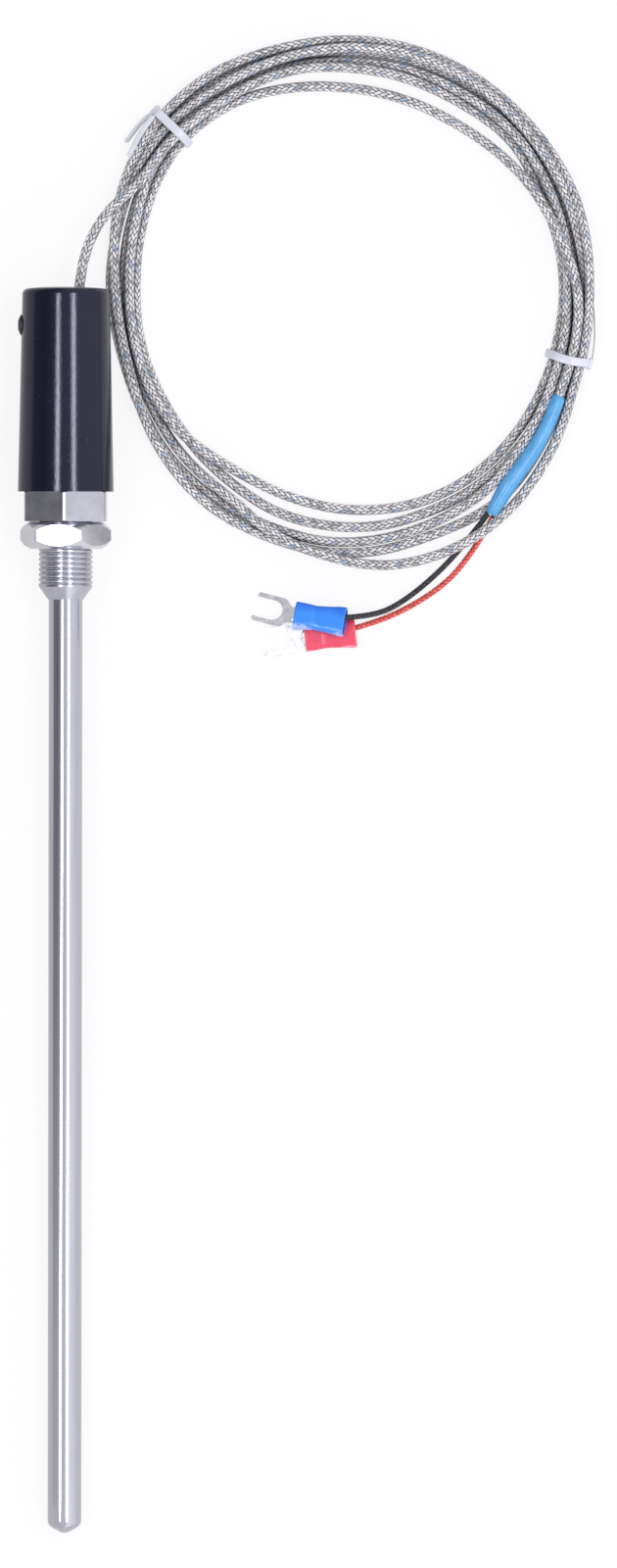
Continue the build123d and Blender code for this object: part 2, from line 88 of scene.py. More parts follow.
class Nodes:
    """Node tree of a new material or world, with short calls for the nodes that are used here."""

    def __init__(self, name, kind="materials"):
        self.owner = getattr(bpy.data, kind).new(name)
        self.owner.use_nodes = True
        self.tree = self.owner.node_tree
        self.shader = self.tree.nodes.get("Principled BSDF")
        self.out = self.tree.nodes.get("Material Output")

    def add(self, kind, **values):
        node = self.tree.nodes.new(kind)
        for key, value in values.items():
            setattr(node, key, value)
        return node

    def join(self, source, target):
        self.tree.links.new(source, target)

    def math(self, operation, *terms):
        node = self.add("ShaderNodeMath", operation=operation)
        for socket, value in zip(node.inputs, terms):
            if isinstance(value, (int, float)):
                socket.default_value = value
            else:
                self.join(value, socket)
        return node.outputs[0]

    def place(self, scale, source="Object"):
        """Coordinates times a scale, one number or one for each axis. Object coordinates are metres."""
        coords = self.add("ShaderNodeTexCoord")
        mapping = self.add("ShaderNodeMapping")
        mapping.inputs["Scale"].default_value = scale if isinstance(scale, tuple) else (scale, scale, scale)
        self.join(coords.outputs[source], mapping.inputs["Vector"])
        return mapping.outputs["Vector"]

    def parts_of(self, vector):
        """The three numbers of a vector."""
        node = self.add("ShaderNodeSeparateXYZ")
        self.join(vector, node.inputs[0])
        return tuple(node.outputs)

    def map_range(self, value, **limits):
        """A value carried from one range to another, whose ends are named with _ for each space."""
        node = self.add("ShaderNodeMapRange")
        self.join(value, node.inputs["Value"])
        for key, limit in limits.items():
            node.inputs[key.replace("_", " ")].default_value = limit
        return node.outputs[0]

    def noise(self, scale, detail=2.0, roughness=0.5, source="Object"):
        node = self.add("ShaderNodeTexNoise")
        node.inputs["Scale"].default_value = 1.0
        node.inputs["Detail"].default_value = detail
        node.inputs["Roughness"].default_value = roughness
        self.join(self.place(scale, source), node.inputs["Vector"])
        return node.outputs["Fac"]

    def ramp(self, factor, *stops):
        """Colour or grey level by a factor; each stop is a position with a colour or a level."""
        node = self.add("ShaderNodeValToRGB")
        elements = node.color_ramp.elements
        while len(elements) < len(stops):
            elements.new(0.5)
        for element, (position, colour) in zip(elements, stops):
            element.position = position
            element.color = (*colour, 1.0) if isinstance(colour, tuple) else (colour, colour, colour, 1.0)
        self.join(factor, node.inputs["Fac"])
        return node.outputs["Color"]

    def between(self, noise, low, high):
        """Goes from low to high over the middle of a noise's range."""
        return self.ramp(noise, (0.3, low), (0.7, high))

    def mix(self, factor, a, b):
        node = self.add("ShaderNodeMix", data_type="RGBA")
        for socket, value in ((node.inputs[0], factor), (node.inputs[6], a), (node.inputs[7], b)):
            if isinstance(value, tuple):
                socket.default_value = (*value, 1.0)
            else:
                self.join(value, socket)
        return node.outputs[2]

    def bump(self, height, strength, distance, after=None):
        node = self.add("ShaderNodeBump")
        node.inputs["Strength"].default_value = strength
        node.inputs["Distance"].default_value = distance
        self.join(height, node.inputs["Height"])
        if after is not None:
            self.join(after, node.inputs["Normal"])
        self.join(node.outputs["Normal"], self.shader.inputs["Normal"])
        return node.outputs["Normal"]

    def set(self, **values):
        """Sets the shader's inputs, named with _ for each space, to colours, numbers or nodes' outputs."""
        for key, value in values.items():
            socket = self.shader.inputs[key.replace("_", " ")]
            if isinstance(value, tuple):
                socket.default_value = (*value, 1.0)
            elif isinstance(value, (int, float)):
                socket.default_value = value
            else:
                self.join(value, socket)


STEEL_LOW = (0.50, 0.50, 0.555)
STEEL_HIGH = (0.60, 0.60, 0.655)


def brushed_steel():
    """Stem: faint streaks along Y."""
    m = Nodes("brushed_steel")
    streaks = m.noise((400, 2, 400), 3.0, 0.6)
    polish = m.noise((90, 2, 90))
    m.set(Base_Color=m.between(streaks, STEEL_LOW, STEEL_HIGH), Metallic=1.0,
          Roughness=m.between(polish, 0.10, 0.12))
    return m.owner


def turned_steel():
    """Fitting: flats and thread with faint cutting marks."""
    m = Nodes("turned_steel")
    marks = m.noise((60, 1400, 60), 2.0, 0.6)
    broad = m.noise(170, 3.0)
    m.set(Base_Color=m.between(broad, STEEL_LOW, STEEL_HIGH), Metallic=1.0,
          Roughness=m.between(broad, 0.12, 0.18))
    m.bump(marks, 0.10, 0.00001)
    return m.owner


def black_plastic():
    """Handle: glossy moulding with faint flow marks and dust."""
    m = Nodes("black_plastic")
    flow = m.noise((120, 30, 120), 4.0, 0.6)
    grain = m.noise(2200, 2.0, 0.6)
    dust = m.ramp(m.noise(1300, 2.0, 0.6), (0.70, 0.0), (0.76, 1.0))
    base = m.between(flow, (0.0040, 0.0042, 0.012), (0.0056, 0.0060, 0.017))
    m.set(Base_Color=m.mix(dust, base, (0.05, 0.05, 0.08)), Roughness=m.between(flow, 0.05, 0.085), IOR=1.5,
          Specular_Tint=(0.78, 0.81, 1.0))
    after = m.bump(grain, 0.55, 0.00006)
    m.bump(flow, 0.05, 0.0001, after)
    return m.owner


def mottled(name, low, high, roughness, metallic=0.0, scale=350, detail=3.0, relief=(0.15, 0.00008),
            span=(0.3, 0.7), alpha=1.0):
    """Plain material in which one noise varies the colour, the surface and, for two values, the roughness.

    relief is the bump's strength and its depth in metres. span is where in the noise the colour changes."""
    m = Nodes(name)
    tone = m.noise(scale, detail)
    gloss = m.between(tone, *roughness) if isinstance(roughness, tuple) else roughness
    colour = m.ramp(tone, (span[0], low), (span[1], high))
    m.set(Base_Color=colour, Metallic=metallic, Roughness=gloss, Alpha=alpha)
    m.bump(tone, *relief)
    return m.owner


def plain_metal(name, low, high, roughness):
    return mottled(name, low, high, roughness, metallic=1.0, scale=500, relief=(0.15, 0.00003))


def ceramic():
    return mottled("ceramic", (0.78, 0.76, 0.70), (0.88, 0.86, 0.81), 0.65, scale=400, detail=4.0,
                   relief=(0.3, 0.00005))


def moulded_sleeve(name, dark, middle, edge_highlight):
    """Soft vinyl whose UVs hold the place along and across.

    Its colour has painted shade in the bore and towards one side, and a painted highlight along the other
    side's edge.
    """
    m = Nodes(name)
    across = m.parts_of(m.place(1, "UV"))[1]
    tone = m.noise(220, 3.0)
    shift = m.math("ADD", across, m.math("MULTIPLY_ADD", tone, 0.5, -0.25))
    # Painted shade in the bore and towards one side, and a painted highlight along the other side's edge
    body = m.ramp(shift, (0.05, dark), (0.45, middle), (0.93, middle), (0.99, edge_highlight))
    m.set(Base_Color=body, Roughness=m.between(tone, 0.20, 0.32))
    after = m.bump(tone, 0.35, 0.0002)
    m.bump(m.noise(900), 0.10, 0.00005, after)
    return m.owner


def braid(name, around, lay, wires, light, dark, roughness, depth, shade, tracer=None, metallic=0.0):
    """Braid over a tube whose UVs hold millimetres along it and turns around it.

    Two sets of flat plaits cross, and each plait passes over two of the other set and then under two. Each
    set has as many plaits as around says, and each turns once in lay millimetres. depth is the relief in
    metres, shade is how far single plaits darken by chance, and tracer is the colour of one plait. The dark
    colour is also painted shade in the plaits' low parts and gaps, and where other things are near."""
    m = Nodes(name)
    repeat = 4.0
    along, turn, _ = m.parts_of(m.place(1, "UV"))
    step = m.math("MULTIPLY", along, around / lay)
    wrap = m.math("MULTIPLY", turn, around)
    a = m.math("ADD", wrap, step)
    b = m.math("SUBTRACT", wrap, step)
    fa, fb = m.math("FLOOR", a), m.math("FLOOR", b)
    over = m.math("LESS_THAN", m.math("FLOORED_MODULO", m.math("ADD", fa, fb), repeat), 1.5)

    def plait(value, place):
        """Height across a crowned plait with its wires as ridges, dipping at the float's two ends."""
        crown_power, wire_share, dip_power, dip_depth = 2.4, 0.35, 3.0, 0.8
        inside = m.math("SUBTRACT", m.math("MULTIPLY", m.math("FRACT", value), 2.0), 1.0)
        crown = m.math("SUBTRACT", 1.0, m.math("POWER", m.math("ABSOLUTE", inside), crown_power))
        ridges = m.math("ABSOLUTE", m.math("SINE", m.math("MULTIPLY", value, pi * wires)))
        ridges = m.math("MULTIPLY_ADD", ridges, wire_share, 1 - wire_share)
        in_float = m.math("SUBTRACT", m.math("FLOORED_MODULO", place, repeat), 1.0)
        dip = m.math("MULTIPLY", m.math("POWER", m.math("ABSOLUTE", in_float), dip_power), dip_depth)
        return m.math("MULTIPLY", m.math("MULTIPLY", crown, m.math("SUBTRACT", 1.0, dip)), ridges)

    height_a = m.math("MULTIPLY", plait(a, m.math("ADD", fa, b)), over)
    height_b = plait(b, m.math("ADD", m.math("ADD", a, fb), repeat / 2))
    height = m.math("ADD", height_a, m.math("MULTIPLY", height_b, m.math("SUBTRACT", 1.0, over)))
    # Painted shade: the plaits' low parts and the gaps between them take the dark colour, and the crowns the
    # light one
    body = m.mix(m.ramp(height, (0.20, 0.0), (0.48, 1.0)), dark, light)

    cell = m.add("ShaderNodeCombineXYZ")
    for value, socket in zip((fa, fb, over), cell.inputs):
        m.join(value, socket)
    chance = m.add("ShaderNodeTexWhiteNoise", noise_dimensions="3D")
    m.join(cell.outputs[0], chance.inputs["Vector"])
    body = m.mix(m.ramp(chance.outputs["Value"], (0.12, shade), (0.55, 0.0)), body, dark)
    soiling = m.noise((0.35, 1.0, 1.0), 3.0, source="UV")
    body = m.mix(m.ramp(soiling, (0.50, 0.0), (0.80, 0.12)), body, dark)

    # Painted shade: the colour goes towards dark where the AO node finds the floor or other strands within 3.5
    # mm
    occlusion_shade = m.add("ShaderNodeAmbientOcclusion", samples=6)
    occlusion_shade.inputs["Distance"].default_value = 0.0035
    body = m.mix(m.ramp(occlusion_shade.outputs["AO"], (0.12, 0.94), (0.60, 0.0)), body, dark)
    if tracer is not None:
        marked = m.math("COMPARE", m.math("FLOORED_MODULO", fa, around), 0.0, 0.5)
        marked = m.math("MULTIPLY", marked, over)
        body = m.mix(m.math("MULTIPLY", marked, m.ramp(height, (0.12, 0.0), (0.5, 0.55))), body, tracer)
        metallic = m.math("MULTIPLY", m.math("SUBTRACT", 1.0, marked), metallic)
    m.set(Base_Color=body, Metallic=metallic, Roughness=roughness)
    m.bump(height, 1.0, depth)
    return m.owner


MATERIALS = {
    "stainless_brushed": brushed_steel(),
    "stainless_turned": turned_steel(),
    "nut_steel": mottled("plated_steel", (0.68, 0.68, 0.73), (0.78, 0.78, 0.82), (0.14, 0.20), metallic=1.0,
                         scale=170, relief=(0.10, 0.00002)),
    "black_plastic": black_plastic(),
    "blackened_steel": mottled("blackened_steel", (0.02, 0.02, 0.025), (0.07, 0.07, 0.08), (0.35, 0.5),
                               metallic=0.6, scale=700, relief=(0.2, 0.00003), span=(0.4, 0.75)),
    "brass": plain_metal("brass", (0.62, 0.44, 0.18), (0.78, 0.6, 0.3), 0.32),
    "junction_alloy": plain_metal("junction_alloy", (0.4, 0.39, 0.37), (0.55, 0.54, 0.52), 0.4),
    "cement": ceramic(),
    "ceramic": ceramic(),
    "wire_alloy": plain_metal("wire_alloy", (0.45, 0.44, 0.42), (0.6, 0.59, 0.56), 0.35),
    "splice_metal": plain_metal("splice_metal", (0.6, 0.57, 0.5), (0.78, 0.74, 0.66), 0.35),
    "clear_sleeve": mottled("clear_sleeve", (0.75, 0.75, 0.72), (0.85, 0.85, 0.82), 0.4),
    # Each braid's dark colour is painted shade in its plaits' low parts and where things are near, and is also
    # where single plaits darken by chance
    "core_insulation_red": braid("fibre_red", around=4, lay=5.6, wires=3, light=(1.0, 0.14, 0.11),
                                 dark=(0.24, 0.006, 0.010), roughness=0.36, depth=0.00024, shade=0.45),
    "core_insulation_black": braid("fibre_black", around=4, lay=5.6, wires=3, light=(0.045, 0.045, 0.057),
                                   dark=(0.001, 0.001, 0.002), roughness=0.34, depth=0.00026, shade=0.6),
    "cable_braid": braid("steel_braid", around=8, lay=16.0, wires=4, light=(1.0, 0.985, 1.0),
                         dark=(0.018, 0.012, 0.022), roughness=0.26, depth=0.00038, shade=0.50,
                         tracer=(0.16, 0.32, 0.56), metallic=0.35),
    "shrink_blue": mottled("shrink_blue", (0.07, 0.32, 0.63), (0.125, 0.39, 0.71), 0.25),
    "white_tie": mottled("white_tie", (0.60, 0.62, 0.68), (0.67, 0.69, 0.75), 0.3, relief=(0.12, 0.00008)),
    # In each sleeve the first colour is painted shade in the bore and towards one side, and the last a painted
    # highlight along an edge
    "sleeve_blue": moulded_sleeve("sleeve_blue", (0.018, 0.16, 0.72), (0.04, 0.26, 0.88), (0.42, 0.50, 0.88)),
    "sleeve_red": moulded_sleeve("sleeve_red", (0.56, 0.035, 0.09), (0.78, 0.065, 0.12), (0.86, 0.30, 0.38)),
    "tinned_metal": mottled("tinned_metal", (0.66, 0.66, 0.70), (0.84, 0.84, 0.88), (0.26, 0.42),
                            metallic=1.0, scale=600, relief=(0.25, 0.00003)),
}
# The ties' nylon where it is a thin tail that lets the floor's light through
TAIL_NYLON = mottled("white_tie_tail", (0.62, 0.64, 0.69), (0.70, 0.72, 0.76), 0.25, relief=(0.12, 0.00008),
                     alpha=0.78)
# The lock nut is brighter than the fitting that it turns on
SLOTS = {row["node"]: row["material_slot"] for row in frame["record"]["subparts"]} | {"lock_nut": "nut_steel"}


def paint(obj, slot):
    obj.data.materials.clear()
    obj.data.materials.append(MATERIALS[slot])


for name, node in frame["nodes"].items():
    for place in range(len(node.data.materials)):
        node.data.materials[place] = MATERIALS[SLOTS[name]]
    if not node.data.materials:
        node.data.materials.append(MATERIALS[SLOTS[name]])


# Cords

def spline(name, points):
    """Smooth open curve with the route's points, in millimetres, as control points."""
    curve = bpy.data.curves.new(name, "CURVE")
    curve.dimensions = "3D"
    curve.resolution_u = 4
    line = curve.splines.new("NURBS")
    line.points.add(len(points) - 1)
    for point, place in zip(line.points, points):
        point.co = (*(Vector(place) * MM), 1.0)
    line.order_u = 3
    line.use_endpoint_u = True
    obj = bpy.data.objects.new(name, curve)
    bpy.context.collection.objects.link(obj)
    bpy.context.view_layer.update()
    mesh = bpy.data.meshes.new_from_object(obj)
    path = [v.co.copy() for v in mesh.vertices]
    bpy.data.meshes.remove(mesh)
    bpy.data.objects.remove(obj)
    bpy.data.curves.remove(curve)
    return path


def even(path, step):
    """The same line with points at equal steps along it, and their lengths from its start."""
    line = np.array(path)
    lengths = lengths_along(line)
    marks = np.linspace(0.0, lengths[-1], max(2, int(round(lengths[-1] / step)) + 1))
    return np.stack([np.interp(marks, lengths, line[:, i]) for i in range(3)], axis=1), marks


def tube(name, path, radius, sides, sway=None):
    """Closed tube mesh along a path in metres. radius is a number or one for each point.

    UVs: mm along, turns around, where sway adds a part of a turn at each point."""
    line, count = np.array(path), len(path)
    radii = np.full(count, radius) if np.isscalar(radius) else np.array(radius)
    sway = np.zeros(count) if sway is None else sway
    tangents = np.gradient(line, axis=0)
    tangents /= np.linalg.norm(tangents, axis=1)[:, None]
    along = lengths_along(line)
    normal = UP
    bm = bmesh.new()
    rings = []
    for i in range(count):
        tangent = Vector(tangents[i])
        normal = (normal - tangent * normal.dot(tangent)).normalized()
        binormal = tangent.cross(normal)
        centre = Vector(line[i])
        ring = []
        for j in range(sides):
            angle = 2 * pi * j / sides
            ring.append(bm.verts.new(centre + (normal * cos(angle) + binormal * sin(angle)) * radii[i]))
        rings.append(ring)
    uv = bm.loops.layers.uv.new("UVMap")
    for i in range(count - 1):
        for j in range(sides):
            k = (j + 1) % sides
            face = bm.faces.new((rings[i][j], rings[i][k], rings[i + 1][k], rings[i + 1][j]))
            face.smooth = True
            places = ((i, j), (i, j + 1), (i + 1, j + 1), (i + 1, j))
            for loop, (row, column) in zip(face.loops, places):
                loop[uv].uv = (along[row] / MM, column / sides + sway[row])
    for end, ring in ((0, rings[0][::-1]), (count - 1, rings[-1])):
        cap = bm.faces.new(ring)
        for loop in cap.loops:
            loop[uv].uv = (along[end] / MM, 0.0)
    bm.normal_update()
    mesh = bpy.data.meshes.new(name)
    bm.to_mesh(mesh)
    bm.free()
    obj = bpy.data.objects.new(name, mesh)
    bpy.context.collection.objects.link(obj)
    return obj


# The coil's laps, from the lead's side and clockwise seen from above. Each entry: angle from +X in degrees,
# distance from the centre in units of 1/3.445 mm, and level: 0 on the floor, 1 on those, 2 on top
UNIT = 1 / 3.445
LAPS = [
    ((178, 277, 2), (172.5, 277.3, 2), (168.3, 273.5, 2), (163.7, 265.2, 2), (159.9, 256.6, 2),
     (156.2, 250.7, 2), (151.7, 247, 2), (145, 245, 2), (136, 244, 1), (125, 241.5, 1), (105, 242, 1),
     (90, 237, 1), (75, 233.5, 0), (60, 231, 0), (45, 232.5, 0), (30, 223.5, 0), (15, 221.5, 0),
     (3, 219.5, 0), (352, 217, 0), (343, 216.5, 0), (325, 217.5, 0), (305, 219.5, 0), (290, 219, 0),
     (278, 216.5, 0), (265, 213.5, 0), (255, 211, 0), (240, 209.5, 0), (229, 213.5, 1), (218, 220.5, 1),
     (205, 224, 1), (192, 224.5, 1)),
    ((178, 226, 1), (165, 230.5, 1), (150, 240.5, 1), (137, 248, 0), (122, 248.5, 0), (105, 247, 0),
     (90, 244.5, 0), (75, 243.5, 0), (60, 240.5, 0), (45, 239.5, 1), (30, 233, 0), (15, 228.5, 0.5),
     (0, 222.5, 1), (343, 223.5, 1), (325, 228, 1), (305, 240, 1), (290, 243.5, 0), (278, 246.5, 0),
     (265, 248.5, 0), (255, 246.5, 0), (247, 245.5, 0), (240, 245.5, 0), (225, 245.5, 0), (210, 241.5, 0),
     (195, 239.5, 0)),
    ((178, 245.5, 0), (165, 248.5, 0), (150, 254, 0), (143, 256, 1), (137, 257, 1), (122, 255, 1),
     (105, 256, 1), (90, 257.5, 1), (75, 258, 1), (60, 255, 1), (45, 250, 1), (30, 246.5, 1),
     (22, 244.5, 1), (15, 242, 0.4), (0, 240, 0), (343, 239, 0), (325, 244.5, 0), (305, 256.5, 0),
     (290, 254.5, 0), (278, 258, 0), (265, 259.5, 0), (255, 257, 0), (245, 256, 0), (240, 256, 0),
     (225, 251, 1), (210, 242.5, 1), (195, 236, 1)),
    ((178, 239.5, 1), (165, 249.5, 1), (150, 262, 1), (137, 268.5, 1), (122, 270.5, 1), (105, 266.5, 0),
     (90, 266, 0), (75, 264.5, 0), (60, 261, 0), (45, 257, 0), (30, 254.5, 0), (22, 252.5, 0),
     (15, 249.5, 0.5), (0, 244.5, 1), (343, 244.5, 1), (325, 256, 1), (312, 266, 1), (305, 271.5, 2),
     (298, 274.5, 2), (290, 276.5, 2), (280, 275.5, 1), (273, 271, 1), (265, 263, 1), (255, 255.5, 1),
     (247, 246, 1), (240, 237, 1), (232, 234.5, 0), (225, 234, 0), (210, 230.5, 0), (195, 229.5, 0)),
    ((178, 232, 0), (165, 236.5, 0), (150, 243.5, 0), (143, 252, 0), (137, 262, 0), (122, 262, 0),
     (105, 257, 0), (90, 255, 0), (75, 254, 0), (60, 250.5, 0), (45, 246.5, 0), (30, 243.5, 0),
     (22, 239.5, 0), (15, 235.5, 0), (0, 230.5, 0), (343, 228, 0), (325, 229, 0), (316, 229.5, 0),
     (305, 231, 0), (290, 231, 0), (278, 233, 0), (265, 232, 0), (252, 230, 0), (240, 224, 0),
     (225, 219.5, 0), (210, 217, 0), (195, 218.5, 0)),
    ((178, 219.5, 0), (165, 224, 0), (150, 231.5, 0), (137, 237, 0), (122, 235, 0), (112, 229.5, 0),
     (105, 225, 0), (90, 217, 0), (75, 212.5, 0), (60, 210.5, 0), (45, 213.5, 0), (30, 219, 1),
     (22, 221, 2), (15, 224.5, 2), (5, 231.5, 2), (0, 234, 2), (343, 235, 1), (335, 237, 1), (330, 240, 2),
     (325, 243, 2), (320, 246, 2), (315, 249.5, 2), (310, 254, 2), (305, 261, 2), (302.5, 262.5, 2)),
]
CABLE_RADIUS = 1.5
CABLE_STEP = 1.2

# Degrees along the cable are counted from the first lap's first entry. The lead and the tail have routes of
# their own before the first of these marks and after the second
START_ANGLE = 178
LEAD_JOIN = 34
TAIL_JOIN = 1996
CONTROL_STEP = 7.5
# Degrees to both sides over which a rise is softened
SOFTENING = 9

# Where the fourth lap passes over both leads: degrees along the cable, and the least height of its middle
OVER_LEADS = ((1288, 1.5), (1311, 3.75), (1331, 3.75), (1354, 1.5))


def smooth_through(marks, values, wanted):
    """Monotone cubic interpolation, so that a lane neither overshoots nor ripples."""
    marks, values = np.array(marks, float), np.array(values, float)
    gaps, slopes = np.diff(marks), np.diff(values) / np.diff(marks)
    tangents = np.zeros(len(marks))
    for i in range(1, len(marks) - 1):
        if slopes[i - 1] * slopes[i] > 0:
            w1, w2 = 2 * gaps[i] + gaps[i - 1], gaps[i] + 2 * gaps[i - 1]
            tangents[i] = (w1 + w2) / (w1 / slopes[i - 1] + w2 / slopes[i])
    tangents[0], tangents[-1] = slopes[0], slopes[-1]
    cell = np.clip(np.searchsorted(marks, wanted, side="right") - 1, 0, len(marks) - 2)
    t = (wanted - marks[cell]) / gaps[cell]
    h00, h10 = 2 * t**3 - 3 * t**2 + 1, t**3 - 2 * t**2 + t
    h01, h11 = -2 * t**3 + 3 * t**2, t**3 - t**2
    return (h00 * values[cell] + h10 * gaps[cell] * tangents[cell] + h01 * values[cell + 1]
            + h11 * gaps[cell] * tangents[cell + 1])


def resting_heights(reach, level):
    """Height of the cable's middle at each degree, so that it lies on the strands of lower levels."""
    width, count = 2 * CABLE_RADIUS, len(reach)
    most_rounds, all_laps, near_enough = 12, 360 * (len(LAPS) - 1), 0.001
    height = np.full(count, CABLE_RADIUS)
    for _ in range(most_rounds):
        settled = np.full(count, CABLE_RADIUS)
        for shift in range(-all_laps, all_laps + 1, 360):
            if shift == 0:
                continue
            here = np.arange(max(0, -shift), min(count, count - shift))
            other = here + shift
            apart = np.abs(reach[here] - reach[other])
            lower = (level[other] < level[here]) & (apart < width)
            rise = height[other] + np.sqrt(np.maximum(width**2 - apart**2, 0.0))
            settled[here] = np.where(lower, np.maximum(settled[here], rise), settled[here])
        if np.abs(settled - height).max() < near_enough:
            break
        height = settled
    return height


def softened(height, spread):
    """Spreads each rise over some degrees to both sides and rounds it off, without lowering its top."""
    window = 2 * spread + 1
    padded = np.pad(height, spread, mode="edge")
    widest = np.array([padded[i:i + window].max() for i in range(len(height))])
    padded = np.pad(widest, spread, mode="edge")
    return np.array([padded[i:i + window].mean() for i in range(len(height))])


def coil_points():
    """Control points of the cable's turns."""
    marks, reach, level = [], [], []
    for lap, entries in enumerate(LAPS):
        for angle, distance, layer in entries:
            marks.append(lap * 360 + (START_ANGLE - angle) % 360)
            reach.append(distance * UNIT)
            level.append(layer)
    degrees_on = np.arange(0, marks[-1] + 1)
    reach = smooth_through(marks, reach, degrees_on)
    height = resting_heights(reach, np.interp(degrees_on, marks, level))
    height = softened(np.maximum(height, np.interp(degrees_on, *zip(*OVER_LEADS))), SOFTENING)
    points = []
    for mark in np.arange(LEAD_JOIN, TAIL_JOIN, CONTROL_STEP):
        distance = np.interp(mark, degrees_on, reach) / cos(radians(CONTROL_STEP / 2))
        angle = radians(START_ANGLE - mark)
        middle = np.interp(mark, degrees_on, height)
        points.append(by_coil(distance * cos(angle), distance * sin(angle), middle))
    return points


LEAD_ROUTE = [on_axis(3.2, 53.0), on_axis(3.2, 72.5), by_coil(-74.7, 23.5, 10.6), by_coil(-61.8, 34.8, 7.2)]
TAIL_ROUTE = [by_coil(62.0, -29.2, 4.9), by_coil(58.8, -37.3, 4.8), by_coil(54.9, -44.4, 4.6),
              by_coil(50.4, -50.4, 4.4), by_coil(46.2, -56.2, 4.0), by_coil(42.0, -63.75, 3.6)]
cable_line = spline("cable_line", LEAD_ROUTE + coil_points() + TAIL_ROUTE)
cable_path, cable_marks = even(cable_line, CABLE_STEP * MM)
cable_length = float(cable_marks[-1])

# The braid wanders round the cable by a part of a turn, changing over each such length in metres
SWAY_STEP = 0.09
SWAY_TURN = 0.22
rng = np.random.default_rng(7)
knots = np.arange(0.0, cable_length + SWAY_STEP, SWAY_STEP)
sway = np.interp(cable_marks, knots, np.cumsum(rng.uniform(-SWAY_TURN, SWAY_TURN, len(knots))))
cable = tube("braided_cable", cable_path, CABLE_RADIUS * MM, sides=16, sway=sway)
paint(cable, "cable_braid")
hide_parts("cable_lead", "cable_coil", "cable_tail")
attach(cable, "probe")

# Shrink sleeve over the cable's last stretch: snug at its start, puffed in its lower half and drawn in at its
# end. Each entry: share of the length, and radius
SHRINK_LENGTH = 41.0
SHRINK_STEP = 0.4
SHRINK_SHAPE = ((0.0, 1.62), (0.012, 2.0), (0.04, 2.16), (0.14, 2.2), (0.30, 2.3), (0.48, 2.5), (0.62, 2.55),
                (0.75, 2.6), (0.88, 2.35), (0.95, 2.1), (0.985, 1.9), (1.0, 1.5))
SHRINK_WAVES = 26
SHRINK_WAVE_HEIGHT = 0.05
first = int(np.searchsorted(cable_marks, cable_length - SHRINK_LENGTH * MM))
shrink_line, _ = even(cable_path[first:], SHRINK_STEP * MM)
share = np.linspace(0.0, 1.0, len(shrink_line))
waves = rng.uniform(-SHRINK_WAVE_HEIGHT, SHRINK_WAVE_HEIGHT, SHRINK_WAVES)
shrink_radii = np.interp(share, *zip(*SHRINK_SHAPE))
shrink_radii += np.interp(share, np.linspace(0, 1, SHRINK_WAVES), waves) * np.sin(pi * share)
shrink = tube("shrunk_sleeve", shrink_line, shrink_radii * MM, sides=28)
paint(shrink, "shrink_blue")
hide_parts("shrink_sleeve")
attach(shrink, "probe")

# Leads, each from the cable's end to its terminal. In a terminal's own axes the sleeve lies along X and the
# fork is at +X
LEAD_RADIUS = 0.85
LEAD_STEP = 0.5
LEAD_ASIDE = 0.87
LEAD_OUT = 0.3
LEAD_END = Vector((-6.6, -1.3, 0.0))
tail_end, tail_before = TAIL_ROUTE[-1], TAIL_ROUTE[-2]
tail_way = (tail_end - tail_before).normalized()
tail_side = tail_way.cross(UP).normalized()


def terminal_frame(place, turn):
    """Axes of a terminal, from its middle's place by the coil and its turns about X, Y and Z."""
    roll, pitch, yaw = (radians(v) for v in turn)
    spin = Matrix.Rotation(yaw, 4, "Z") @ Matrix.Rotation(pitch, 4, "Y") @ Matrix.Rotation(roll, 4, "X")
    return Matrix.Translation(by_coil(*place)) @ spin


# Each lead: its side of the cable's end, route, terminal, CAD node and material
BLUE = terminal_frame((-8.7, -94.8, 5.95), (15.0, 9.8, 172.0))
RED = terminal_frame((-5.6, -99.7, 2.2), (0.0, 0.6, 186.0))
LEADS = {
    "black": (1, ((35.6, -70.7, 1.15), (27.9, -79.7, 0.95), (17.0, -89.1, 2.4), (7.5, -94.1, 4.9)), BLUE,
              "lead_black", "core_insulation_black"),
    "red": (-1, ((40.3, -68.7, 1.15), (35.9, -75.6, 0.95), (29.8, -83.2, 0.95), (20.6, -89.8, 0.95),
                 (9.5, -95.3, 1.3)), RED, "lead_red", "core_insulation_red"),
}
for colour, (side, route, terminal, node, slot) in LEADS.items():
    start = tail_end + tail_side * side * LEAD_ASIDE + tail_way * LEAD_OUT
    points = [start, *(by_coil(*p) for p in route), terminal @ LEAD_END]
    line, marks = even(spline(f"{colour}_line", points), LEAD_STEP * MM)
    lead = tube(f"{colour}_lead", line, LEAD_RADIUS * MM, sides=14)
    paint(lead, slot)
    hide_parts(node)
    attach(lead, "probe")


# Meshes made of rings of points

def add_loft(bm, rings, uvs=None, closed=False, capped=False):
    """Joins rings of equal count, smooth, one after another.

    closed joins the last ring to the first, and capped fills the first and the last."""
    uv = bm.loops.layers.uv.get("UVMap") or bm.loops.layers.uv.new("UVMap")
    verts = [[bm.verts.new(Vector(p) * MM) for p in ring] for ring in rings]
    count = len(rings[0])
    for i in range(len(rings) if closed else len(rings) - 1):
        k = (i + 1) % len(rings)
        for j in range(count):
            n = (j + 1) % count
            face = bm.faces.new((verts[i][j], verts[i][n], verts[k][n], verts[k][j]))
            face.smooth = True
            if uvs is not None:
                for loop, place in zip(face.loops, ((i, j), (i, n), (k, n), (k, j))):
                    loop[uv].uv = uvs[place[0]][place[1]]
    if capped:
        bm.faces.new(verts[0][::-1])
        bm.faces.new(verts[-1])


